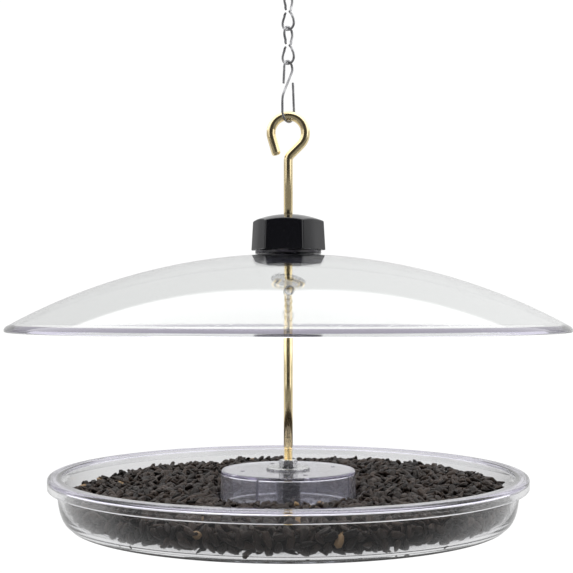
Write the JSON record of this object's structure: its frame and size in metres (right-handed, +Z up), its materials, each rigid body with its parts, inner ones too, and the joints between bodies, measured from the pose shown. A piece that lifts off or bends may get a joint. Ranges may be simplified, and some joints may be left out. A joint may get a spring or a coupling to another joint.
{
  "type": "hanging domed bird feeder",
  "caption": "Hanging feeder: a clear dish of black seed on a brass rod under a clear domed cover, with a black clamp knob and a short wire chain with S-hooks.",
  "frame": {"origin": "the point inside the top hook's upper loop that bears on the support, on the middle line of the chain, rod, cover and dish", "axes": "+Z up along the rod; -Y towards the front, where the stop pin's ring is; the rod's eye lies in the XZ plane"},
  "size_m": [0.381, 0.381, 0.402],
  "materials": {
    "zinc_wire": "dull zinc-plated steel wire",
    "zinc_plate": "bright zinc-plated steel",
    "brass": "polished",
    "black_gloss": "glossy moulded",
    "black_washer": "satin",
    "black_post": "satin moulded",
    "rubber": "matte",
    "clear_cover": "clear, glossy",
    "clear_dish": "clear, glossy",
    "seed": "dry black husks with a few tan ones"
  },
  "bodies": {
    "hanger": {"top_hook": "zinc_wire"},
    "link_1": {"chain_link_1": "zinc_wire"},
    "link_2": {"chain_link_2": "zinc_wire"},
    "hook": {"s_hook": "zinc_wire"},
    "feeder": {"hanger_rod": "brass", "stop_pin": "zinc_wire", "hub_nut": "zinc_plate", "hub_washer": "zinc_plate", "hub_cover": "clear_dish", "hub_post": "black_post", "seed_dish": "clear_dish", "seal_washer": "rubber", "base_washer": "zinc_plate", "base_nut": "zinc_plate", "seed_fill": "seed"},
    "stop": {"stop_washer": "zinc_plate"},
    "cover": {"dome_cover": "clear_cover", "clamp_collet": "black_gloss", "dome_gasket": "rubber", "knob_washer": "black_washer"},
    "knob": {"lock_knob": "black_gloss"}
  },
  "joints": [
    {"name": "link_1_swing", "type": "hinge", "parent": "hanger", "child": "link_1", "pos_m": [0, 0, -0.0409], "axis": [0.8192, -0.5736, 0], "range_deg": [-45, 45]},
    {"name": "link_2_swing", "type": "hinge", "parent": "link_1", "child": "link_2", "pos_m": [0, 0, -0.0624], "axis": [0.5736, 0.8192, 0], "range_deg": [-45, 45]},
    {"name": "hook_swing", "type": "hinge", "parent": "link_2", "child": "hook", "pos_m": [0, 0, -0.0876], "axis": [0.8192, -0.5736, 0], "range_deg": [-45, 45]},
    {"name": "feeder_swing", "type": "hinge", "parent": "hook", "child": "feeder", "pos_m": [0, 0, -0.12343], "axis": [1, 0, 0], "range_deg": [-40, 40]},
    {"name": "stop_lift", "type": "slide", "parent": "feeder", "child": "stop", "axis": [0, 0, 1], "range_m": [0, 0.006]},
    {"name": "cover_slide", "type": "slide", "parent": "feeder", "child": "cover", "axis": [0, 0, 1], "range_m": [-0.004, 0.028]},
    {"name": "knob_turn", "type": "hinge", "parent": "cover", "child": "knob", "pos_m": [0, 0, -0.20322], "axis": [0, 0, 1], "range_deg": [0, 450]}
  ]
}
